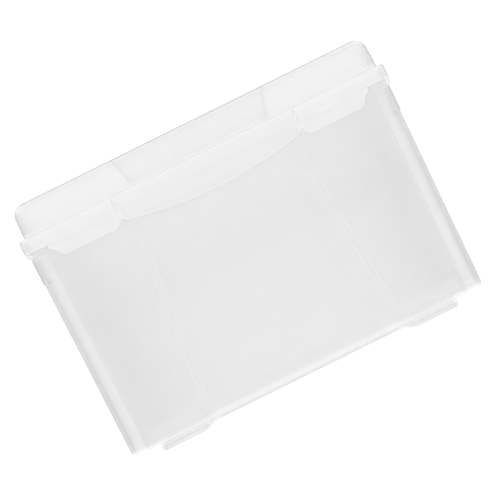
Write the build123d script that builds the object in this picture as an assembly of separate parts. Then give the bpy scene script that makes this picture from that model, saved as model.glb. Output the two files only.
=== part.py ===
from build123d import *
from math import radians, tan
import os

# Flip-top keeper case for a stack of 6 x 4 inch prints, injection moulded in natural polypropylene.
# A deep drafted box stands on a foot ring. A shallow lid turns on two snap hinges at the back, closes
# down over the box's neck, and is held shut by a wide spring tongue between two slits.
# Millimetres. +X runs to the right, +Z up, and the front faces -Y.

# ---- driving dimensions -------------------------------------------------------------------

# what the case holds
PRINT_W = 152.4           # a 6 inch print, standing on its long edge
PRINT_END_PLAY = 3.8      # at the floor, at each end
STACK_T = 23.0            # about 100 prints
STACK_PLAY = 0.3          # at the floor, front and back

# box
BASE_H = 92.6             # underside of the floor to underside of the flange
SIDE_DRAFT_DEG = 0.82
FACE_DRAFT_DEG = 0.425
WALL = 1.2
FLOOR_T = 1.3
BODY_CORNER_R = 7.5       # upright corners below the collar
COLLAR_CORNER_R = 3.5     # upright corners of the collar
COLLAR_H = 12.3           # collar below the flange
BOTTOM_EDGE_R = 2.0
POCKET_EDGE_R = 1.0       # inside, round the floor

# flange that the lid sits on, and the neck inside the lid
FLANGE_T = 1.7
FLANGE_OUT = 1.25
NECK_H = 4.8
NECK_INSET = 0.3          # neck stands this far inside the wall's outer face
NECK_LEAD = 0.3           # chamfer that leads the lid on

# foot ring under the floor
FOOT_H = 3.3
FOOT_L = 17.9             # full height, at each end
FOOT_SWEEP_L = 10.2       # from the full height to the low ring
RING_H = 1.2              # ring between the feet
RING_END_INSET = 12.8     # ring inside the floor's ends
RING_FACE_INSET = 2.4     # ring inside the floor's front and back edges
RING_WALL = 1.2
RING_CORNER_R = 1.6
FOOT_CORNER_R = 1.5       # lower corners of the feet, seen from the front

# rails inside the front and back walls, which keep prints off them
RAIL_W = 1.4
RAIL_PROUD = 0.8
SIDE_RAIL_INSET = 8.9     # from the floor's ends
SIDE_RAIL_DROP = 0.9      # its end below the collar's lower edge
MID_RAIL_TOP_X = 36.6
MID_RAIL_BOTTOM_X = 44.2
MID_RAIL_DROP = 5.9       # its end below the flange

# lid
RIM_WALL = 1.3
RIM_SIDE_GAP = 0.15       # rim outside the box's ends
RIM_FACE_GAP = 0.4        # rim outside the box's front and back
RIM_H = 6.4
RIM_TOP_R = 1.0
SHOULDER_SIDE = 2.75      # shoulder between rim and crown, at the ends
SHOULDER_FACE = 2.8       # and at the front and back
SHOULDER_T = 1.3
CROWN_H = 14.0            # above the rim
CROWN_SIDE_DRAFT_DEG = 1.84
CROWN_FACE_DRAFT_DEG = 1.23
CROWN_CORNER_R = 5.2      # corners seen from the front
CROWN_EDGE_R = 2.0        # edges round the front and back faces
CROWN_WALL = 1.2
SEAM_GAP = 0.1            # lid above the flange when shut

# finger recess in the lid's front face
RECESS_HALF_W_TOP = 34.8
RECESS_HALF_W_LEDGE = 31.2
RECESS_LEDGE_UP = 1.5     # ledge above the rim
RECESS_DEPTH = 0.7
RECESS_CORNER_R = 1.2
RECESS_BACK_WALL = 1.1

# aprons of the lid, which hang over the box's front wall
APRON_WALL = 0.9
APRON_GAP = 0.3           # apron in front of the wall
SLIT_W = 1.4
SIDE_APRON_INSET = 9.05   # outer end inside the box's ends
SIDE_APRON_SWEEP_L = 6.0  # its lower edge sweeps up to the flange over this length
SIDE_APRON_DROP = 6.6     # below the seam
APRON_CORNER_R = 3.0

# spring tongue that latches the lid
TONGUE_HALF_W = 41.0
TONGUE_DROP_END = 4.5     # below the seam, at its two ends
TONGUE_DROP_MID = 9.4
TONGUE_CORNER_R = 2.5
LIP_W = 1.3               # thumb lip along its lower edge
LIP_OUT = 0.6

# snap beads on the tongue, under two catches on the wall
CATCH_X = 27.0
CATCH_W = 10.0
CATCH_PROUD = 0.22
CATCH_H = 1.0
CATCH_DROP = 3.4          # below the seam
BEAD_BELOW_CATCH = 1.3    # between the two crests
BEAD_PROUD = 0.16
BEAD_H = 0.9

# hinges
HINGE_INSET = 25.55       # hinge's middle inside the box's ends
HINGE_W = 28.0
LUG_T = 2.0
LUG_R = 2.1
LUG_ROOT_H = 5.0
PIN_R = 1.1
PIN_CLEARANCE = 0.07
CLIP_R = 2.3
CLIP_W = 7.0
CLIP_END_PLAY = 0.3
CLIP_MOUTH_DEG = 100.0    # open part of the clip
CLIP_MOUTH_TURN = -45.0   # its middle, turned down from straight back
CLIP_WALL_GAP = 0.3       # clip behind the box's wall
CLIP_ROOT_H = 4.0         # gusset on the rim above the clip
NOTCH_GAP = 0.4           # lid and flange round the hinge

LEAST_R = 0.3             # the sharpest inside corner that is moulded
EMBED = 0.2               # how far an added feature starts inside the wall that it grows from
PAST = 10.0               # how far a cutting tool runs past what it cuts

# ---- levels and places that follow ----------------------------------------------------------


def drafted(height, degrees):
    """How far a wall leans over a height."""
    return height * tan(radians(degrees))


FLOOR_Z = FOOT_H
FLANGE_Z = FLOOR_Z + BASE_H
SEAM_Z = FLANGE_Z + FLANGE_T
COLLAR_Z = FLANGE_Z - COLLAR_H
NECK_TOP_Z = SEAM_Z + NECK_H
RIM_BOTTOM_Z = SEAM_Z + SEAM_GAP
RIM_TOP_Z = SEAM_Z + RIM_H
SHOULDER_Z = RIM_TOP_Z - SHOULDER_T
LID_TOP_Z = RIM_TOP_Z + CROWN_H

BASE_W_BOTTOM = PRINT_W + 2 * (PRINT_END_PLAY + WALL)
BASE_D_BOTTOM = STACK_T + 2 * (STACK_PLAY + RAIL_PROUD + WALL)
BASE_W_TOP = BASE_W_BOTTOM + 2 * drafted(SEAM_Z - FLOOR_Z, SIDE_DRAFT_DEG)
BASE_D_TOP = BASE_D_BOTTOM + 2 * drafted(SEAM_Z - FLOOR_Z, FACE_DRAFT_DEG)

LID_RIM_W = BASE_W_TOP + 2 * (RIM_SIDE_GAP + RIM_WALL)
LID_RIM_D = BASE_D_TOP + 2 * (RIM_FACE_GAP + RIM_WALL)
RIM_CORNER_R = COLLAR_CORNER_R + RIM_SIDE_GAP + RIM_WALL
CROWN_W = LID_RIM_W - 2 * SHOULDER_SIDE
CROWN_D = LID_RIM_D - 2 * SHOULDER_FACE
RIM_FRONT_Y = -LID_RIM_D / 2
RIM_BACK_Y = LID_RIM_D / 2

FOOT_OUTER_X = BASE_W_BOTTOM / 2 - RING_END_INSET
FOOT_INNER_X = FOOT_OUTER_X - FOOT_L
RING_START_X = FOOT_INNER_X - FOOT_SWEEP_L
SIDE_RAIL_X = BASE_W_BOTTOM / 2 - SIDE_RAIL_INSET

APRON_INNER_Y = -BASE_D_TOP / 2 - APRON_GAP
APRON_OUTER_Y = APRON_INNER_Y - APRON_WALL
SIDE_APRON_START_X = TONGUE_HALF_W + SLIT_W
SIDE_APRON_END_X = BASE_W_TOP / 2 - SIDE_APRON_INSET

HINGE_X = BASE_W_TOP / 2 - HINGE_INSET
HINGE_INNER_X = HINGE_X - HINGE_W / 2
HINGE_OUTER_X = HINGE_X + HINGE_W / 2
HINGE_Y = BASE_D_TOP / 2 + CLIP_WALL_GAP + CLIP_R
HINGE_Z = SEAM_Z

# The finished model is moved so that the origin lies under the middle of its outer box.
FRONT_REACH = max(-RIM_FRONT_Y, -APRON_OUTER_Y + LIP_OUT)
BACK_REACH = HINGE_Y + CLIP_R
CENTRE_SHIFT = Location((0, (FRONT_REACH - BACK_REACH) / 2, 0))


# ---- helpers ------------------------------------------------------------------------------

def across(outline, y_front, y_back):
    """A prism of an outline drawn in X and Z, from y_front to y_back."""
    plane = Plane(origin=(0, y_back, 0), x_dir=(1, 0, 0), z_dir=(0, -1, 0))
    return extrude(plane * outline, amount=y_back - y_front)


def along(outline, x_left, x_right):
    """A prism of an outline drawn in Y and Z, from x_left to x_right."""
    plane = Plane(origin=(x_left, 0, 0), x_dir=(0, 1, 0), z_dir=(1, 0, 0))
    return extrude(plane * outline, amount=x_right - x_left)


def block(x0, x1, y0, y1, z0, z1):
    """A box between two corners."""
    return Pos((x0 + x1) / 2, (y0 + y1) / 2, (z0 + z1) / 2) * Box(x1 - x0, y1 - y0, z1 - z0)


def plate(width, depth, radius, z0, z1):
    """A flat plate with rounded upright corners, centred on the Z axis."""
    return Pos(0, 0, z0) * extrude(RectangleRounded(width, depth, radius), amount=z1 - z0)


def trapezoid(low, top, z0, z1):
    """An upright outline centred on the middle, as wide as low at z0 and as wide as top at z1."""
    return make_face(Polyline((-low / 2, z0), (low / 2, z0), (top / 2, z1), (-top / 2, z1), close=True))


def drafted_block(size_at, z0, z1, inset):
    """A sharp-edged block whose width and depth at each height are size_at, less an inset all round."""
    (low_w, low_d), (top_w, top_d) = ([size - 2 * inset for size in size_at(z)] for z in (z0, z1))
    return (across(trapezoid(low_w, top_w, z0, z1), -low_d, low_d)
            & along(trapezoid(low_d, top_d, z0, z1), -low_w, low_w))


def both_sides(shape):
    """The shape and its mirror image on the other side of the middle."""
    return shape + mirror(shape, about=Plane.YZ)


def inside_radius(radius, wall):
    """The radius on the inside of a rounded corner."""
    return max(radius - wall, LEAST_R)


def s_curve(start, end):
    """A smooth step between two levels, flat at both ends."""
    middle = (start[0] + end[0]) / 2
    return Bezier(start, (middle, start[1]), (middle, end[1]), end)


# ---- box ----------------------------------------------------------------------------------

def box_size(z):
    """The box's outer width and depth at height z. The walls lean out evenly with height."""
    width = BASE_W_BOTTOM + 2 * drafted(z - FLOOR_Z, SIDE_DRAFT_DEG)
    depth = BASE_D_BOTTOM + 2 * drafted(z - FLOOR_Z, FACE_DRAFT_DEG)
    return width, depth


def box_block(z0, z1, inset, radius):
    """A drafted block between two heights of the box, inset from its outer face."""
    blank = drafted_block(box_size, z0, z1, inset)
    return fillet(blank.edges().group_by(Axis.Z)[1], radius)


def neck():
    """The thinner wall inside the lid, with a lead-in round its top."""
    wall = box_block(SEAM_Z, NECK_TOP_Z, NECK_INSET, inside_radius(COLLAR_CORNER_R, NECK_INSET))
    return chamfer(wall.faces().sort_by(Axis.Z)[-1].edges(), NECK_LEAD)


def box_outside():
    """The drafted body, the square-cornered collar, the flange and the neck as one solid."""
    body = box_block(FLOOR_Z, COLLAR_Z, 0, BODY_CORNER_R)
    body = fillet(body.faces().sort_by(Axis.Z)[0].edges(), BOTTOM_EDGE_R)
    collar = box_block(COLLAR_Z, SEAM_Z, 0, COLLAR_CORNER_R)
    return body + collar + neck() + flange()


def flange():
    """The ledge that the lid sits on, left out behind the aprons and at the hinges."""
    width, depth = BASE_W_TOP + 2 * FLANGE_OUT, BASE_D_TOP + 2 * FLANGE_OUT
    ledge = plate(width, depth, COLLAR_CORNER_R + FLANGE_OUT, FLANGE_Z, SEAM_Z)
    apron_end = SIDE_APRON_END_X + APRON_GAP
    ledge -= block(-apron_end, apron_end, -depth, 0, FLANGE_Z, SEAM_Z)
    hinge_bay = block(HINGE_INNER_X - NOTCH_GAP, HINGE_OUTER_X + NOTCH_GAP, 0, depth, FLANGE_Z, SEAM_Z)
    return ledge - both_sides(hinge_bay)


def rail_outline(x_top, z_top, x_bottom):
    """One rail seen from the front: a straight strip with a rounded upper end."""
    z_bottom = FLOOR_Z + FLOOR_T / 2
    half = RAIL_W / 2
    strip = make_face(Polyline((x_bottom - half, z_bottom), (x_bottom + half, z_bottom),
                               (x_top + half, z_top), (x_top - half, z_top), close=True))
    return strip + Pos(x_top, z_top) * Circle(half)


def box_rails():
    """Four rails on the front wall and four on the back, standing RAIL_PROUD inside the walls."""
    side = rail_outline(SIDE_RAIL_X, COLLAR_Z - SIDE_RAIL_DROP, SIDE_RAIL_X)
    middle = rail_outline(MID_RAIL_TOP_X, FLANGE_Z - MID_RAIL_DROP, MID_RAIL_BOTTOM_X)
    strips = both_sides(across(side, -BASE_D_TOP, BASE_D_TOP) + across(middle, -BASE_D_TOP, BASE_D_TOP))
    inset = WALL + RAIL_PROUD
    return strips - box_block(FLOOR_Z, NECK_TOP_Z, inset, inside_radius(BODY_CORNER_R, inset))


def box_pocket():
    """The space inside the box, with the rails left standing."""
    step_z = COLLAR_Z + WALL
    lower = box_block(FLOOR_Z + FLOOR_T, step_z, WALL, inside_radius(BODY_CORNER_R, WALL))
    lower = fillet(lower.faces().sort_by(Axis.Z)[0].edges(), POCKET_EDGE_R)
    upper = box_block(step_z, NECK_TOP_Z, WALL, inside_radius(COLLAR_CORNER_R, WALL))
    return lower + upper - box_rails()


def foot_profile():
    """The right half of the foot ring seen from the front: shallow in the middle, deep at the foot."""
    ring_z = FOOT_H - RING_H
    top_z = FLOOR_Z + EMBED
    sweep = s_curve((RING_START_X, ring_z), (FOOT_INNER_X, 0))
    rest = Polyline((FOOT_INNER_X, 0), (FOOT_OUTER_X, 0), (FOOT_OUTER_X, top_z), (0, top_z),
                    (0, ring_z), (RING_START_X, ring_z))
    half = make_face(sweep + rest)
    return fillet(half.vertices().sort_by(lambda v: v.X - v.Y)[-1], FOOT_CORNER_R)


def foot_ring():
    """The thin ring under the floor, deep at its two ends and shallow between them."""
    depth = BASE_D_BOTTOM - 2 * RING_FACE_INSET
    top_z = FLOOR_Z + EMBED
    ring = plate(2 * FOOT_OUTER_X, depth, RING_CORNER_R, 0, top_z)
    ring -= plate(2 * (FOOT_OUTER_X - RING_WALL), depth - 2 * RING_WALL,
                  inside_radius(RING_CORNER_R, RING_WALL), 0, top_z)
    return ring & both_sides(across(foot_profile(), -depth, depth))


def catches():
    """Two low ridges on the front wall, above the tongue's beads."""
    z = SEAM_Z - CATCH_DROP
    face_y = -box_size(z)[1] / 2
    ridge = make_face(Polyline((face_y + EMBED, z - CATCH_H / 2), (face_y, z - CATCH_H / 2),
                               (face_y - CATCH_PROUD, z), (face_y, z + CATCH_H / 2),
                               (face_y + EMBED, z + CATCH_H / 2), close=True))
    return both_sides(along(ridge, CATCH_X - CATCH_W / 2, CATCH_X + CATCH_W / 2))


def hinge_lugs():
    """A pair of lugs on the back wall with the pin moulded between them, on each side."""
    root_top_z = SEAM_Z - EMBED
    root_z = root_top_z - LUG_ROOT_H
    root_y = box_size(root_z)[1] / 2 - EMBED
    eye = Pos(HINGE_Y, HINGE_Z) * Circle(LUG_R)
    root = Pos(root_y, (root_z + root_top_z) / 2) * Rectangle(EMBED, LUG_ROOT_H)
    lug = make_hull(eye.edges() + root.edges())
    pin = Pos(HINGE_Y, HINGE_Z) * Circle(PIN_R)
    lugs = (along(lug, HINGE_INNER_X, HINGE_INNER_X + LUG_T)
            + along(lug, HINGE_OUTER_X - LUG_T, HINGE_OUTER_X))
    return both_sides(lugs + along(pin, HINGE_INNER_X + LUG_T / 2, HINGE_OUTER_X - LUG_T / 2))


def make_box():
    """The whole box: outside less pocket, with its foot ring, catches and hinge lugs."""
    return box_outside() - box_pocket() + foot_ring() + catches() + hinge_lugs()


# ---- lid ----------------------------------------------------------------------------------

def crown_size(z):
    """The crown's outer width and depth at height z. Its walls lean in evenly with height."""
    width = CROWN_W - 2 * drafted(z - RIM_TOP_Z, CROWN_SIDE_DRAFT_DEG)
    depth = CROWN_D - 2 * drafted(z - RIM_TOP_Z, CROWN_FACE_DRAFT_DEG)
    return width, depth


def crown_block(z0, z1, inset, corner_r, edge_r):
    """The lid above its rim: a drafted block with rounded corners and softly rounded faces."""
    blank = drafted_block(crown_size, z0, z1, inset)
    top_ends = blank.faces().sort_by(Axis.Z)[-1].edges().filter_by(Axis.Y)
    solid = fillet(top_ends, corner_r)
    faces = solid.faces().sort_by(Axis.Y)
    edges = faces[0].edges() + faces[-1].edges()
    low_edges = solid.faces().sort_by(Axis.Z)[0].edges()
    return fillet([edge for edge in edges if edge not in low_edges], edge_r)


def recess_outline(grow):
    """The finger recess seen from the front, grown on its lower and outer sides."""
    ledge_z = RIM_TOP_Z + RECESS_LEDGE_UP
    slope = (RECESS_HALF_W_TOP - RECESS_HALF_W_LEDGE) / (LID_TOP_Z - ledge_z)
    low, high = RECESS_HALF_W_LEDGE + grow, RECESS_HALF_W_TOP + slope * PAST + grow
    top_z = LID_TOP_Z + PAST
    face = make_face(Polyline((-low, ledge_z - grow), (low, ledge_z - grow), (high, top_z), (-high, top_z),
                              close=True))
    return fillet(face.vertices().sort_by(Axis.Y)[:2], RECESS_CORNER_R)


def rim_block():
    """The wider band at the lid's lower edge, with its upper edge rounded."""
    band = plate(LID_RIM_W, LID_RIM_D, RIM_CORNER_R, RIM_BOTTOM_Z, RIM_TOP_Z)
    return fillet(band.faces().sort_by(Axis.Z)[-1].edges(), RIM_TOP_R)


def lid_cavity():
    """The space inside the rim and the crown, kept clear of the finger recess."""
    rim_inside = plate(LID_RIM_W - 2 * RIM_WALL, LID_RIM_D - 2 * RIM_WALL,
                       inside_radius(RIM_CORNER_R, RIM_WALL), RIM_BOTTOM_Z, SHOULDER_Z)
    crown = crown_block(RIM_BOTTOM_Z, LID_TOP_Z - CROWN_WALL, CROWN_WALL,
                        inside_radius(CROWN_CORNER_R, CROWN_WALL), inside_radius(CROWN_EDGE_R, CROWN_WALL))
    recess_y = -CROWN_D / 2 + RECESS_DEPTH + RECESS_BACK_WALL
    return rim_inside + (crown - across(recess_outline(RECESS_BACK_WALL), -LID_RIM_D, recess_y))


def lid_notches():
    """What the rim leaves out: the tongue with its slits, and a bay round each hinge."""
    front = block(-SIDE_APRON_START_X, SIDE_APRON_START_X, -LID_RIM_D, -CROWN_D / 2,
                  RIM_BOTTOM_Z, SHOULDER_Z)
    bay = block(HINGE_INNER_X - NOTCH_GAP, HINGE_OUTER_X + NOTCH_GAP, CROWN_D / 2, LID_RIM_D,
                RIM_BOTTOM_Z, HINGE_Z + LUG_R + NOTCH_GAP)
    return front + both_sides(bay)


def side_aprons():
    """The two flaps that hang from the rim's front beside the tongue."""
    low_z = SEAM_Z - SIDE_APRON_DROP
    top_z = RIM_BOTTOM_Z + RIM_WALL
    flat_x = SIDE_APRON_END_X - SIDE_APRON_SWEEP_L
    sweep = s_curve((flat_x, low_z), (SIDE_APRON_END_X, FLANGE_Z))
    rest = Polyline((SIDE_APRON_END_X, FLANGE_Z), (SIDE_APRON_END_X, top_z),
                    (SIDE_APRON_START_X, top_z), (SIDE_APRON_START_X, low_z), (flat_x, low_z))
    flap = make_face(sweep + rest)
    flap = fillet(flap.vertices().sort_by(lambda v: v.X + v.Y)[0], APRON_CORNER_R)
    return both_sides(across(flap, APRON_OUTER_Y, APRON_INNER_Y))


def clip_outline():
    """A snap clip seen from the side: a split eye on a gusset that grows from the rim."""
    centre = Pos(HINGE_Y, HINGE_Z)
    root_top_z = RIM_TOP_Z - RIM_TOP_R
    root = Pos(RIM_BACK_Y - RIM_WALL / 2, root_top_z - CLIP_ROOT_H / 2) * Rectangle(EMBED, CLIP_ROOT_H)
    body = make_hull((centre * Circle(CLIP_R)).edges() + root.edges())
    ray = Vector(2 * CLIP_R, 0)
    low, high = (CLIP_MOUTH_TURN + side * CLIP_MOUTH_DEG / 2 for side in (-1, 1))
    mouth = make_face(Polyline((0, 0), ray.rotate(Axis.Z, low), ray.rotate(Axis.Z, high), close=True))
    return body - centre * Circle(PIN_R + PIN_CLEARANCE) - centre * mouth


def hinge_clips():
    """Two snap clips on each hinge, one beside each lug."""
    clip = clip_outline()
    inner = HINGE_INNER_X + LUG_T + CLIP_END_PLAY
    outer = HINGE_OUTER_X - LUG_T - CLIP_END_PLAY
    return both_sides(along(clip, inner, inner + CLIP_W) + along(clip, outer - CLIP_W, outer))


def make_lid():
    """The lid as one moulding: crown, rim, side aprons and hinge clips."""
    crown = crown_block(SHOULDER_Z, LID_TOP_Z, 0, CROWN_CORNER_R, CROWN_EDGE_R)
    crown -= across(recess_outline(0), -LID_RIM_D, -CROWN_D / 2 + RECESS_DEPTH)
    shell = rim_block() + crown - lid_cavity() - lid_notches()
    return shell + side_aprons() + hinge_clips()


# ---- spring tongue --------------------------------------------------------------------------

def tongue_outline(lift):
    """The tongue seen from the front, with its bowed lower edge raised by lift."""
    end_z = SEAM_Z - TONGUE_DROP_END + lift
    mid_z = SEAM_Z - TONGUE_DROP_MID + lift
    bow = ThreePointArc((-TONGUE_HALF_W, end_z), (0, mid_z), (TONGUE_HALF_W, end_z))
    rest = Polyline((TONGUE_HALF_W, end_z), (TONGUE_HALF_W, SHOULDER_Z), (-TONGUE_HALF_W, SHOULDER_Z),
                    (-TONGUE_HALF_W, end_z))
    face = make_face(bow + rest)
    return fillet(face.vertices().sort_by(Axis.Y)[:2], TONGUE_CORNER_R)


def tongue_beads():
    """The two beads behind the tongue that snap under the box's catches."""
    z = SEAM_Z - CATCH_DROP - BEAD_BELOW_CATCH
    bead = make_face(Polyline((APRON_INNER_Y - EMBED, z - BEAD_H / 2), (APRON_INNER_Y, z - BEAD_H / 2),
                              (APRON_INNER_Y + BEAD_PROUD, z), (APRON_INNER_Y, z + BEAD_H / 2),
                              (APRON_INNER_Y - EMBED, z + BEAD_H / 2), close=True))
    return both_sides(along(bead, CATCH_X - CATCH_W / 2, CATCH_X + CATCH_W / 2))


def make_tongue():
    """The spring tongue: a stiff band level with the rim, a thin apron, a thumb lip and two beads."""
    apron = across(tongue_outline(0), APRON_OUTER_Y, APRON_INNER_Y)
    band = block(-TONGUE_HALF_W, TONGUE_HALF_W, RIM_FRONT_Y, RIM_FRONT_Y + RIM_WALL,
                 RIM_BOTTOM_Z, SHOULDER_Z)
    lip = across(tongue_outline(0) - tongue_outline(LIP_W), APRON_OUTER_Y - LIP_OUT, APRON_INNER_Y)
    return apron + band + lip + tongue_beads()


# ---- export -------------------------------------------------------------------------------

os.makedirs("parts", exist_ok=True)
export_step(CENTRE_SHIFT * make_box(), "parts/box.step")
export_step(CENTRE_SHIFT * make_lid(), "parts/lid.step")
export_step(CENTRE_SHIFT * make_tongue(), "parts/latch_tongue.step")
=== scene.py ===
import math

import bpy
import numpy as np
from mathutils import Matrix, Vector

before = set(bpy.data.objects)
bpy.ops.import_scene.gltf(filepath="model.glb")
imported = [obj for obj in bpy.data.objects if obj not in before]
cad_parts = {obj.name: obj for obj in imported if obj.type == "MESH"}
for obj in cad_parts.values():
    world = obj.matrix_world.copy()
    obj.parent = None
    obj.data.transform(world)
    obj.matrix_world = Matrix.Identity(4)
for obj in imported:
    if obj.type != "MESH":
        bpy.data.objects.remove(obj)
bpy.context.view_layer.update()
scene = bpy.context.scene


# ---- box ----------------------------------------------------------------------------------
# The deep half of the case, one injection moulding in natural polypropylene with no pigment.
# Its walls are 1.2 mm thick and pass light with a milky haze. The tool's faces were polished
# and then lightly vapour blasted, so the surface is semi-gloss with a fine orange peel.

MM = 0.001


def linear(hex_colour):
    """The linear colour of an sRGB hex value: each channel through the sRGB curve's inverse."""
    channels = [int(hex_colour[i:i + 2], 16) / 255 for i in (1, 3, 5)]
    return [c / 12.92 if c <= 0.04045 else ((c + 0.055) / 1.055) ** 2.4 for c in channels] + [1]


def add(tree, kind, settings=(), **links):
    """A node of that kind. settings are attributes, socket values or a colour ramp's stops, each a
    place and a grey, and links feed sockets. A socket goes by its name, or by number as i0 to i7."""
    made = tree.nodes.new(kind)

    def by_number(name):
        return name[0] == "i" and name[1:].isdigit()

    for name, value in dict(settings).items():
        if name == "stops":
            for stop in made.color_ramp.elements[1:]:
                made.color_ramp.elements.remove(stop)
            for number, (at, grey) in enumerate(value):
                stop = made.color_ramp.elements[0] if number == 0 else made.color_ramp.elements.new(at)
                stop.position, stop.color = at, (grey, grey, grey, 1)
        elif by_number(name):
            made.inputs[int(name[1:])].default_value = value
        elif name in made.inputs:
            made.inputs[name].default_value = value
        else:
            setattr(made, name, value)
    for name, source in links.items():
        socket = int(name[1:]) if by_number(name) else name.replace("_", " ")
        tree.links.new(source, made.inputs[socket])
    return made


def profile(tree, distance, stops):
    """A tone, or the share of one that shows, by a distance. stops are pairs of a distance in mm, from 0
    up, and a value from -1 to 1, which a ramp holds as a grey from 0 to 1."""
    reach = stops[-1][0]
    greys = [(mm / reach, 0.5 + tone / 2) for mm, tone in stops]
    share = add(tree, "ShaderNodeMath", {"operation": "DIVIDE", "i1": reach, "use_clamp": True}, i0=distance)
    ramp = add(tree, "ShaderNodeValToRGB", {"stops": greys}, Fac=share.outputs[0])
    return add(tree, "ShaderNodeMath", {"operation": "MULTIPLY_ADD", "i1": 2.0, "i2": -1.0},
               i0=ramp.outputs[0]).outputs[0]


MIDDLE_Y = -1.55                    # mm, the plane midway between the case's front and back walls
# white for a milkier wall and for painted light, grey for painted shade
MILK_AND_PAINTED_LIGHT, PAINTED_SHADE_GREY = "#FFFFFF", "#7E7E7E"
FULL_HAZE = 0.80                    # where the tone is 1 or -1
RESIN_IOR = 1.49
CLOUD, CLOUD_STRETCH, CLOUD_SPREAD = 30 * MM, (0.6, 1.0, 1.4), 0.015
RUB, RUB_STRETCH, RUB_SLANT = 0.8 * MM, (0.05, 1.0, 1.0), (0, 0.35, 0)
RUB_FAINT, RUB_PLAIN, RUB_ROUGHER = 0.64, 0.72, 0.06
GLOSSIER, MATTER = 0.03, 0.05
PEEL, PEEL_DEPTH, PEEL_STRENGTH = 1.2 * MM, 0.02 * MM, 0.12


def natural_polypropylene(name, plain, gloss, wall):
    """Unpigmented polypropylene, moulded. plain is its tint and gloss its roughness. wall adds the nodes
    for two things: the wall's tone, up to 1 where it is milkier and where light is painted on, and down to -1
    where shade is painted on, and its haze, the share of light that each face scatters and doesn't let
    through."""
    material = bpy.data.materials.new(name)
    material.use_nodes = True
    tree = material.node_tree
    tree.nodes.clear()
    place = add(tree, "ShaderNodeTexCoord").outputs["Object"]
    in_mm = add(tree, "ShaderNodeVectorMath", {"operation": "SCALE", "Scale": 1 / MM}, Vector=place)
    spot = add(tree, "ShaderNodeSeparateXYZ", Vector=in_mm.outputs[0]).outputs
    across = add(tree, "ShaderNodeMath", {"operation": "ABSOLUTE"}, i0=spot["X"]).outputs[0]
    off_middle = add(tree, "ShaderNodeMath", {"operation": "SUBTRACT", "i1": MIDDLE_Y}, i0=spot["Y"])
    deep = add(tree, "ShaderNodeMath", {"operation": "ABSOLUTE"}, i0=off_middle.outputs[0]).outputs[0]
    tone, haze = wall(tree, across, deep, spot["Z"])
    # tone above 0 whitens the wall, where it is milkier and where light is painted on; tone below 0 greys it
    # with painted shade
    milk_and_painted_light = add(tree, "ShaderNodeMath", {"operation": "MAXIMUM", "use_clamp": True, "i1": 0.0},
               i0=tone).outputs[0]
    painted_shade = add(tree, "ShaderNodeMath", {"operation": "MULTIPLY", "use_clamp": True, "i1": -1.0},
               i0=tone).outputs[0]

    # flow clouds of the melt, drawn out along the filling direction, leave the tint barely uneven
    flow = add(tree, "ShaderNodeMapping", {"Scale": CLOUD_STRETCH}, Vector=place).outputs[0]
    clouds = add(tree, "ShaderNodeTexNoise", {"Scale": 1 / CLOUD, "Detail": 4.0, "Roughness": 0.55},
                 Vector=flow).outputs[0]
    dimmer = [(1 - CLOUD_SPREAD) * c for c in linear(plain)[:3]] + [1]
    brighter = [(1 + CLOUD_SPREAD) * c for c in linear(plain)[:3]] + [1]
    body = add(tree, "ShaderNodeMix", {"data_type": "RGBA", "i6": dimmer, "i7": brighter}, Factor=clouds)
    lightened = add(tree, "ShaderNodeMix", {"data_type": "RGBA", "i7": linear(MILK_AND_PAINTED_LIGHT)}, Factor=milk_and_painted_light,
                i6=body.outputs[2])
    tint = add(tree, "ShaderNodeMix", {"data_type": "RGBA", "i7": linear(PAINTED_SHADE_GREY)}, Factor=painted_shade,
               i6=lightened.outputs[2])
    # haze rises with the tone's strength, where the wall is milkier and where light and where shade is
    # painted on
    tone_strength = add(tree, "ShaderNodeMath", {"operation": "ADD", "use_clamp": True}, i0=milk_and_painted_light, i1=painted_shade)
    solid = add(tree, "ShaderNodeMapRange", {"To Max": FULL_HAZE}, Value=tone_strength.outputs[0], To_Min=haze)

    # hairline rubs from sliding in and out of a drawer, drawn 0.8 mm wide so that they can be seen
    rub_place = add(tree, "ShaderNodeMapping", {"Scale": RUB_STRETCH, "Rotation": RUB_SLANT}, Vector=place)
    rubs = add(tree, "ShaderNodeTexNoise", {"Scale": 1 / RUB, "Detail": 2.0}, Vector=rub_place.outputs[0])
    rub_lines = add(tree, "ShaderNodeMapRange", {"From Min": RUB_FAINT, "From Max": RUB_PLAIN},
                    Value=rubs.outputs[0])
    matt = add(tree, "ShaderNodeMapRange", {"To Min": gloss - GLOSSIER, "To Max": gloss + MATTER},
               Value=clouds)
    roughness = add(tree, "ShaderNodeMath", {"operation": "MULTIPLY_ADD", "use_clamp": True,
                                             "i1": RUB_ROUGHER}, i0=rub_lines.outputs[0], i2=matt.outputs[0])

    # orange peel of the blasted tool, 1.2 mm across and a few microns deep
    peel = add(tree, "ShaderNodeTexNoise", {"Scale": 1 / PEEL, "Detail": 2.0}, Vector=place)
    bump = add(tree, "ShaderNodeBump", {"Strength": PEEL_STRENGTH, "Distance": PEEL_DEPTH},
               Height=peel.outputs[0])

    surface = add(tree, "ShaderNodeBsdfPrincipled", {"IOR": RESIN_IOR}, Base_Color=tint.outputs[2],
                  Alpha=solid.outputs[0], Roughness=roughness.outputs[0], Normal=bump.outputs[0])
    add(tree, "ShaderNodeOutputMaterial", Surface=surface.outputs[0])
    return material


def dress(node, material):
    """Gives every material slot of a CAD node the same material."""
    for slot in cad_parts[node].material_slots:
        slot.material = material


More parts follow.
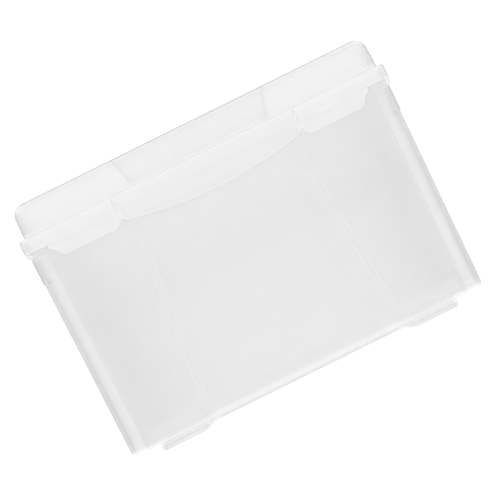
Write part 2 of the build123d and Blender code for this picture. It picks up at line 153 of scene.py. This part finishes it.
SIDE_X, SIDE_LEAN = 81.15, 0.0143   # mm, from the middle to a side wall's outside at z = 0, and its lean
FACE_Y, FACE_LEAN = 13.78, 0.0074   # mm, from the middle plane to a face's outside, in the same way
OUTER_SKIN = 0.6                    # mm, less than the wall, so that only its outside is meant
COLLAR_Z, STRIPES_Z = 83.6, 10.0    # mm up, the collar's lower edge, and where its tones start to mix in
FADE_FROM, FADE_AT, FLANGE_SHARE = 94.5, 95.5, 0.2  # mm up, under the flange, and what is left there
RAIL_LEAN = 0.089
RING_TONE_X, FOOT_TONE_X = 40.0, 46.0   # mm from the middle, up to where and from where each is full
END_NEAR, END_FAR, END_SHARE = 1.0, 4.0, 0.25   # mm in, and how much of the tones by height is at END_NEAR
UNDER_SEAM, OVER_SEAM = 97.3, 97.7  # mm up, either side of the seam under the lid's rim
BODY_HAZE, NECK_HAZE = 0.32, 0.22

# painted shade and painted highlight by mm in from a side wall's outside, at the floor and at the collar: a
# dark outline down the rounded corner, a light stripe inside it, and faint shade that fades out towards the
# middle
NEAR_FLOOR = [(0, -1.0), (0.8, -0.74), (1.6, -0.25), (2.6, 0), (3.4, 0.13), (6.8, 0.20), (7.8, -0.06),
              (14, -0.085), (30, -0.035), (60, 0)]
NEAR_COLLAR = [(0, -0.9), (0.8, -0.50), (1.6, -0.11), (2.4, 0.03), (3.2, 0.12), (6.6, 0.15), (7.8, -0.06),
               (14, -0.07), (30, -0.02), (60, 0)]

# the share of them that shows, by mm from the middle plane: half on the end walls and all on the faces
ROUND_CORNER = [(0, 0.50), (6, 0.50), (7.5, 0.65), (11, 0.80), (12.3, 1), (20, 1)]
TIGHT_CORNER = [(0, 0.50), (10.5, 0.50), (11.5, 0.80), (12.8, 1), (20, 1)]

# tones by mm from the middle to one side, and how much of them shows by height. The middle rails lean,
# so theirs are counted where a rail would meet z = 0.
MIDDLE_RAIL = [(0, 0), (42.2, 0), (43.2, 0.12), (46.1, 0.12), (47.1, 0), (60, 0)]
SIDE_RAIL = [(0, 0), (71.2, 0), (72, 0.05), (73, 0.05), (73.8, 0), (90, 0)]
RAIL_REACH = [(0, 0), (7, 0), (14, 1), (74, 1), (88, 0), (110, 0)]
# painted light behind each of the lid's slits, laid over the slit's own shadow
BEHIND_SLIT = [(0, 0), (40.7, 0), (41.1, 1), (42.3, 1), (42.7, 0), (90, 0)]
SLIT_REACH = [(0, 0), (91.5, 0), (93, 0.36), (94.2, 0.50), (95.2, 1), (110, 1)]

# painted light and shade by height over the whole box, chiefly a highlight round the floor's edge, with the
# painted shade of the low ring and the painted light and shade over the feet added to it
UPWARDS = [(0, -0.16), (1.5, -0.10), (2.4, 0.02), (3.2, 0.12), (3.8, 0.61), (5.2, 0.56), (6.2, 0.33),
           (7.4, 0.25), (9, 0.06), (11, -0.02), (55, -0.04), (78, -0.02), (84, 0), (95.8, 0),
           (96.4, 0.12), (97.6, 0.12), (98, 0), (110, 0)]
RING_EDGE = [(0, 0), (1.9, 0), (2.2, -0.27), (3.1, -0.27), (3.5, 0), (110, 0)]
FOOT_ROOT = [(0, 0), (1.8, 0), (2.2, 0.30), (2.8, 0.30), (3.8, 0.05), (4.6, -0.22), (5.6, -0.24),
             (6.4, -0.14), (8.5, -0.06), (10, 0), (110, 0)]


def box_wall(tree, across, deep, height):
    """The box has painted shade down the outer edge of its rounded corners, with a painted highlight stripe
    inside it, and painted shade towards its ends. It is milkier in its rails. It has painted light behind the
    lid's slits, round its floor and over its feet, and painted shade along its low ring and over its feet.
    Its neck, which the lid fits over, is clearer."""
    # painted shade down the corners' outer edge, a painted highlight stripe inside it, and painted shade
    # towards the ends
    side = add(tree, "ShaderNodeMath", {"operation": "MULTIPLY_ADD", "i1": SIDE_LEAN, "i2": SIDE_X},
               i0=height)
    inset = add(tree, "ShaderNodeMath", {"operation": "SUBTRACT"}, i0=side.outputs[0], i1=across).outputs[0]
    up = add(tree, "ShaderNodeMapRange", {"From Min": STRIPES_Z, "From Max": COLLAR_Z}, Value=height)
    stripes = add(tree, "ShaderNodeMix", {"data_type": "FLOAT"}, Factor=up.outputs[0],
                  i2=profile(tree, inset, NEAR_FLOOR), i3=profile(tree, inset, NEAR_COLLAR))
    in_collar = add(tree, "ShaderNodeMath", {"operation": "GREATER_THAN", "i1": COLLAR_Z}, i0=height)
    at_corner = add(tree, "ShaderNodeMix", {"data_type": "FLOAT"}, Factor=in_collar.outputs[0],
                    i2=profile(tree, deep, ROUND_CORNER), i3=profile(tree, deep, TIGHT_CORNER))
    corner = add(tree, "ShaderNodeMath", {"operation": "MULTIPLY"}, i0=stripes.outputs[0],
                 i1=at_corner.outputs[0])
    fade = add(tree, "ShaderNodeMapRange", {"From Min": FADE_FROM, "From Max": FADE_AT, "To Min": 1.0,
                                            "To Max": FLANGE_SHARE}, Value=height)
    ends = add(tree, "ShaderNodeMath", {"operation": "MULTIPLY"}, i0=corner.outputs[0], i1=fade.outputs[0])

    face = add(tree, "ShaderNodeMath", {"operation": "MULTIPLY_ADD", "i1": FACE_LEAN, "i2": FACE_Y},
               i0=height)
    within = add(tree, "ShaderNodeMath", {"operation": "SUBTRACT"}, i0=face.outputs[0], i1=deep)
    outer = add(tree, "ShaderNodeMath", {"operation": "LESS_THAN", "i1": OUTER_SKIN}, i0=within.outputs[0])
    upright = add(tree, "ShaderNodeMath", {"operation": "MULTIPLY_ADD", "i1": RAIL_LEAN}, i0=height,
                  i2=across)
    middle = profile(tree, upright.outputs[0], MIDDLE_RAIL)
    pair = add(tree, "ShaderNodeMath", {"operation": "ADD"}, i0=middle, i1=profile(tree, across, SIDE_RAIL))
    both = add(tree, "ShaderNodeMath", {"operation": "MULTIPLY"}, i0=pair.outputs[0],
               i1=profile(tree, height, RAIL_REACH))
    # painted light behind the lid's slits, on the outer face only
    slits = profile(tree, across, BEHIND_SLIT)
    all_lit = add(tree, "ShaderNodeMath", {"operation": "MULTIPLY_ADD"}, i0=slits,
                  i1=profile(tree, height, SLIT_REACH), i2=both.outputs[0])
    rails = add(tree, "ShaderNodeMath", {"operation": "MULTIPLY_ADD"}, i0=all_lit.outputs[0],
                i1=outer.outputs[0], i2=ends.outputs[0])

    # painted light and shade over the feet and painted shade along the low ring, added to painted light and
    # shade by height round the floor
    between_feet = add(tree, "ShaderNodeMapRange", {"From Min": FOOT_TONE_X, "From Max": RING_TONE_X},
                       Value=across)
    below = add(tree, "ShaderNodeMix", {"data_type": "FLOAT"}, Factor=between_feet.outputs[0],
                i2=profile(tree, height, FOOT_ROOT), i3=profile(tree, height, RING_EDGE))
    low_down = add(tree, "ShaderNodeMath", {"operation": "ADD"}, i0=below.outputs[0],
                   i1=profile(tree, height, UPWARDS))
    off_ends = add(tree, "ShaderNodeMapRange", {"From Min": END_NEAR, "From Max": END_FAR,
                                                "To Min": END_SHARE}, Value=inset)
    tone = add(tree, "ShaderNodeMath", {"operation": "MULTIPLY_ADD"}, i0=low_down.outputs[0],
               i1=off_ends.outputs[0], i2=rails.outputs[0])
    haze = add(tree, "ShaderNodeMapRange", {"From Min": UNDER_SEAM, "From Max": OVER_SEAM,
                                            "To Min": BODY_HAZE, "To Max": NECK_HAZE}, Value=height)
    return tone.outputs[0], haze.outputs[0]


BOX_TINT, BOX_GLOSS = "#EBEBEB", 0.20
dress("box", natural_polypropylene("natural_polypropylene_box", BOX_TINT, BOX_GLOSS, box_wall))


# ---- lid ----------------------------------------------------------------------------------
# The shallow half, moulded in the same resin from its own tool, with a finger recess in its front.
# Split clips behind it snap onto the box's hinge pins, and its rim slips down over the box's neck, so
# that the two walls together look milkier than the box. Its tint, lighter than the box's from the same resin,
# adds painted light.

RIM_HALF_W, STEP_IN_Z = 84.0, 103.8 # mm, and where rim gives way to crown, just under the rim's top
STEP_IN_HALF = 0.2                  # mm either side of STEP_IN_Z
CROWN_HALF_W, CROWN_LEAN = 81.25, 0.032     # mm, at its foot, and its lean inwards
LID_TOP_Z = 118.0
TOP_EDGE = 2.0                      # the outline is this many times thinner along the top
FACE_FROM, FACE_AT = 10.6, 12.2     # mm from the middle plane, from the end walls to the faces
RECESS_X, RECESS_LEAN = 0.8, 0.288  # mm, where the recess's slanted end would meet z = 0, and its lean
STEP_AT = 4.0                       # mm along RECESS at which that end lies
APRON_END, PAST_APRON = 73.2, 73.8
LID_SLIT_FROM, LID_SLIT_FULL = 98.0, 96.0   # mm up, where the tone of a slit's edge starts and is full
LID_LOW_Z, LID_HIGH_Z, LID_LOW_HAZE, LID_HAZE = 91.0, 95.0, 0.38, 0.45

# painted shade by mm in from the outer edge, and by mm across the recess's slanted end
OUTLINE = [(0, -0.70), (0.8, -0.58), (1.5, -0.17), (3, -0.03), (5, 0)]
RECESS = [(0, -0.025), (3, -0.025), (3.7, -0.085), (4.3, -0.085), (5, 0), (20, 0)]

# by height, a painted highlight at the shoulder with faint painted shade above it, and painted light on the
# rim's lower lip; and painted light at a slit's edge by mm from the middle to one side
SHOULDER = [(0, 0), (103.5, 0), (104.1, 0.24), (104.9, 0.32), (105.4, 0.10), (105.9, -0.035), (120, -0.035)]
LIP = [(0, 0), (97, 0), (97.6, 0.25), (98.2, 0.25), (98.8, 0), (120, 0)]
LID_SLIT_EDGE = [(0, 0), (42.2, 0), (42.4, 0.08), (42.9, 0.08), (43.3, 0), (90, 0)]


def lid_wall(tree, across, deep, height):
    """The lid has painted shade along its outer edges, is painted a shade darker in its recess and darker
    still at the recess's slanted ends. It has a painted highlight at its shoulder, faint painted shade over
    the crown above it, and painted light on its rim's lower lip and at the edges of its slits."""
    up = add(tree, "ShaderNodeMath", {"operation": "SUBTRACT", "i1": STEP_IN_Z}, i0=height).outputs[0]
    crown = add(tree, "ShaderNodeMath", {"operation": "MULTIPLY_ADD", "i1": -CROWN_LEAN,
                                         "i2": CROWN_HALF_W}, i0=up)
    in_crown = add(tree, "ShaderNodeMapRange", {"From Min": -STEP_IN_HALF, "From Max": STEP_IN_HALF},
                   Value=up)
    half_w = add(tree, "ShaderNodeMix", {"data_type": "FLOAT", "i2": RIM_HALF_W}, Factor=in_crown.outputs[0],
                 i3=crown.outputs[0])
    inset = add(tree, "ShaderNodeMath", {"operation": "SUBTRACT"}, i0=half_w.outputs[0], i1=across)
    below_top = add(tree, "ShaderNodeMath", {"operation": "SUBTRACT", "i0": LID_TOP_Z}, i1=height)
    thinner = add(tree, "ShaderNodeMath", {"operation": "MULTIPLY", "i1": TOP_EDGE}, i0=below_top.outputs[0])
    near_edge = add(tree, "ShaderNodeMath", {"operation": "MINIMUM"}, i0=inset.outputs[0],
                    i1=thinner.outputs[0])
    # painted shade along the outer edges
    at_corner = add(tree, "ShaderNodeMapRange", {"From Min": FACE_FROM, "From Max": FACE_AT}, Value=deep)
    edges = add(tree, "ShaderNodeMath", {"operation": "MULTIPLY"}, i1=at_corner.outputs[0],
                i0=profile(tree, near_edge.outputs[0], OUTLINE))

    # painted shade in the recess, darker at its slanted ends
    lean = add(tree, "ShaderNodeMath", {"operation": "MULTIPLY_ADD", "i1": -RECESS_LEAN}, i0=height,
               i2=across)
    past_step = add(tree, "ShaderNodeMath", {"operation": "SUBTRACT", "i1": RECESS_X - STEP_AT},
                    i0=lean.outputs[0])
    crown_tone = add(tree, "ShaderNodeMath", {"operation": "MULTIPLY"}, i1=in_crown.outputs[0],
                     i0=profile(tree, past_step.outputs[0], RECESS))
    shading = add(tree, "ShaderNodeMath", {"operation": "ADD"}, i0=edges.outputs[0], i1=crown_tone.outputs[0])

    # painted light on the rim's lower lip past the aprons, and a painted highlight at the shoulder
    past_apron = add(tree, "ShaderNodeMapRange", {"From Min": APRON_END, "From Max": PAST_APRON},
                     Value=across)
    lit = add(tree, "ShaderNodeMath", {"operation": "MULTIPLY_ADD"}, i0=profile(tree, height, LIP),
              i1=past_apron.outputs[0], i2=profile(tree, height, SHOULDER))
    # painted light at the edges of the slits
    slit_edge = profile(tree, across, LID_SLIT_EDGE)
    slit_down = add(tree, "ShaderNodeMapRange", {"From Min": LID_SLIT_FROM, "From Max": LID_SLIT_FULL},
                    Value=height)
    edged = add(tree, "ShaderNodeMath", {"operation": "MULTIPLY_ADD"}, i0=slit_edge,
                i1=slit_down.outputs[0], i2=lit.outputs[0])
    tone = add(tree, "ShaderNodeMath", {"operation": "ADD"}, i0=shading.outputs[0], i1=edged.outputs[0])
    haze = add(tree, "ShaderNodeMapRange", {"From Min": LID_LOW_Z, "From Max": LID_HIGH_Z,
                                            "To Min": LID_LOW_HAZE, "To Max": LID_HAZE}, Value=height)
    return tone.outputs[0], haze.outputs[0]


# lighter than the box's tint though the resin is the same: painted light on top of the double walls'
# milkiness
LID_TINT, LID_GLOSS = "#FCFCFC", 0.18
dress("lid", natural_polypropylene("natural_polypropylene_lid", LID_TINT, LID_GLOSS, lid_wall))


# ---- latch tongue -------------------------------------------------------------------------
# The sprung part of the lid between its two slits, moulded with it in the same resin and only 0.9 mm
# thick, so that a thumb can lift it. Its lower edge is bowed and carries a small lip.

TONGUE_SLIT_FROM, TONGUE_SLIT_FULL = 98.0, 95.0     # mm up, as on the lid
TONGUE_LOW_Z, TONGUE_HIGH_Z, TONGUE_LOW_HAZE, TONGUE_HAZE = 87.0, 97.0, 0.30, 0.45
# painted light at the edges of the slits, and a shade darker elsewhere
TONGUE_SLIT_EDGE = [(0, -0.03), (39.8, -0.02), (40.4, 0.30), (45, 0.30)]   # by mm from the middle


def tongue_wall(tree, across, deep, height):
    """The tongue is a shade darker than the rim that it springs from, has painted light at the edges of its
    slits, and is clearer towards its lip."""
    slit_down = add(tree, "ShaderNodeMapRange", {"From Min": TONGUE_SLIT_FROM, "From Max": TONGUE_SLIT_FULL},
                    Value=height)
    # painted light at the slits' edges, full below the rim
    tone = add(tree, "ShaderNodeMath", {"operation": "MULTIPLY"}, i1=slit_down.outputs[0],
               i0=profile(tree, across, TONGUE_SLIT_EDGE))
    haze = add(tree, "ShaderNodeMapRange", {"From Min": TONGUE_LOW_Z, "From Max": TONGUE_HIGH_Z,
                                            "To Min": TONGUE_LOW_HAZE, "To Max": TONGUE_HAZE}, Value=height)
    return tone.outputs[0], haze.outputs[0]


TONGUE_TINT, TONGUE_GLOSS = "#FBFBFB", 0.18
dress("latch_tongue", natural_polypropylene("natural_polypropylene_tongue", TONGUE_TINT, TONGUE_GLOSS,
                                            tongue_wall))


# ---- room ---------------------------------------------------------------------------------
# A backlit table of opal acrylic runs out of sight under a white tent, with a large soft light over it.
# The camera looks level and square on at the case's front.

TABLE_HALF, TABLE_LINES = 20.0, 5
OPAL, OPAL_ROUGHNESS, OPAL_GLOW = "#A8A8A8", 0.6, 0.72


def sheet_mesh(name, x, y, z):
    """A grid surface: three arrays of one shape give each corner's place, and each grid cell is a face."""
    rows, columns = x.shape
    corners = np.arange(rows * columns).reshape(rows, columns)
    faces = np.stack([corners[:-1, :-1], corners[:-1, 1:], corners[1:, 1:], corners[1:, :-1]], -1)
    mesh = bpy.data.meshes.new(name)
    mesh.from_pydata(np.stack([x, y, z], -1).reshape(-1, 3).tolist(), [], faces.reshape(-1, 4).tolist())
    return mesh


span = np.linspace(-TABLE_HALF, TABLE_HALF, TABLE_LINES)
table_x, table_y = np.meshgrid(span, span)
table = bpy.data.objects.new("table", sheet_mesh("table", table_x, table_y, np.zeros_like(table_x)))
scene.collection.objects.link(table)

# opal acrylic, lit from below, gives an even white with no bright spots
opal = bpy.data.materials.new("backlit_opal_acrylic")
opal.use_nodes = True
opal_surface = opal.node_tree.nodes["Principled BSDF"]
opal_surface.inputs["Base Color"].default_value = linear(OPAL)
opal_surface.inputs["Roughness"].default_value = OPAL_ROUGHNESS
opal_surface.inputs["Emission Color"].default_value = linear("#FFFFFF")
opal_surface.inputs["Emission Strength"].default_value = OPAL_GLOW
table.data.materials.append(opal)

# the tent: a white band round the horizon that the case is seen against, and dimmer cloth above it,
# brightest at the front and darkest at the two ends, so that the faces of the case part in tone
BAND, ABOVE_FRONT, ABOVE_BACK, END_SHADE, TENT_TOP = 1.06, 0.98, 0.90, 0.25, 0.78
BAND_FROM, BAND_TOP = 0.20, 0.26    # sines of the angle above the horizon, as the next two are
ROOF_FROM, ROOF_FULL = 0.5, 0.8
SHADE_FROM, SHADE_FULL = 0.4, 0.9   # sines of the angle from the middle towards an end
world = bpy.data.worlds.new("white_tent")
scene.world = world
world.use_nodes = True
tent = world.node_tree
tent.nodes.clear()
way = add(tent, "ShaderNodeTexCoord").outputs["Generated"]
heading = add(tent, "ShaderNodeSeparateXYZ", Vector=way).outputs
around = add(tent, "ShaderNodeMapRange", {"From Min": -1.0, "To Min": ABOVE_FRONT, "To Max": ABOVE_BACK},
             Value=heading["Y"])
sideways = add(tent, "ShaderNodeMath", {"operation": "ABSOLUTE"}, i0=heading["X"])
shade = add(tent, "ShaderNodeMapRange", {"From Min": SHADE_FROM, "From Max": SHADE_FULL, "To Min": 1.0,
                                         "To Max": 1 - END_SHADE}, Value=sideways.outputs[0])
cloth = add(tent, "ShaderNodeMath", {"operation": "MULTIPLY"}, i0=around.outputs[0], i1=shade.outputs[0])
overhead = add(tent, "ShaderNodeMapRange", {"From Min": ROOF_FROM, "From Max": ROOF_FULL}, Value=heading["Z"])
roofed = add(tent, "ShaderNodeMix", {"data_type": "FLOAT", "i3": TENT_TOP}, Factor=overhead.outputs[0],
             i2=cloth.outputs[0])
low = add(tent, "ShaderNodeMapRange", {"From Min": BAND_FROM, "From Max": BAND_TOP, "To Min": 1.0,
                                       "To Max": 0.0}, Value=heading["Z"])
glow = add(tent, "ShaderNodeMix", {"data_type": "FLOAT", "i3": BAND}, Factor=low.outputs[0],
           i2=roofed.outputs[0])
backdrop = add(tent, "ShaderNodeBackground", {"Color": (1, 1, 1, 1)}, Strength=glow.outputs[0])
add(tent, "ShaderNodeOutputWorld", Surface=backdrop.outputs[0])

# the light over the table, a large square one that looks down at the case
OVERHEAD, CASE_MIDDLE = Vector((0.2, -0.3, 1.1)), Vector((0, 0, 0.06))
overhead_light = bpy.data.lights.new("overhead_light", "AREA")
overhead_light.size, overhead_light.energy = 0.9, 1.6
lamp = bpy.data.objects.new("overhead_light", overhead_light)
lamp.location = OVERHEAD
lamp.rotation_mode = "QUATERNION"
lamp.rotation_quaternion = (CASE_MIDDLE - OVERHEAD).to_track_quat("-Z", "Y")
scene.collection.objects.link(lamp)

# the camera, rolled so that the case rises to the right
LENS, SENSOR, ROLL = 147.0, 36.0, math.radians(26.3)
CAMERA_X, CAMERA_Y, CAMERA_Z = 0.58 * MM, -858 * MM, 59.03 * MM
camera_data = bpy.data.cameras.new("camera")
camera_data.lens, camera_data.sensor_width = LENS, SENSOR
camera = bpy.data.objects.new("camera", camera_data)
camera.matrix_world = (Matrix.Translation((CAMERA_X, CAMERA_Y, CAMERA_Z))
                       @ Matrix.Rotation(math.pi / 2, 4, "X") @ Matrix.Rotation(-ROLL, 4, "Z"))
scene.collection.objects.link(camera)
scene.camera = camera
scene.view_settings.view_transform = "Standard"
scene.cycles.max_bounces = 24
scene.cycles.transmission_bounces = 24
scene.cycles.diffuse_bounces = 6
scene.cycles.glossy_bounces = 6
scene.cycles.transparent_max_bounces = 64
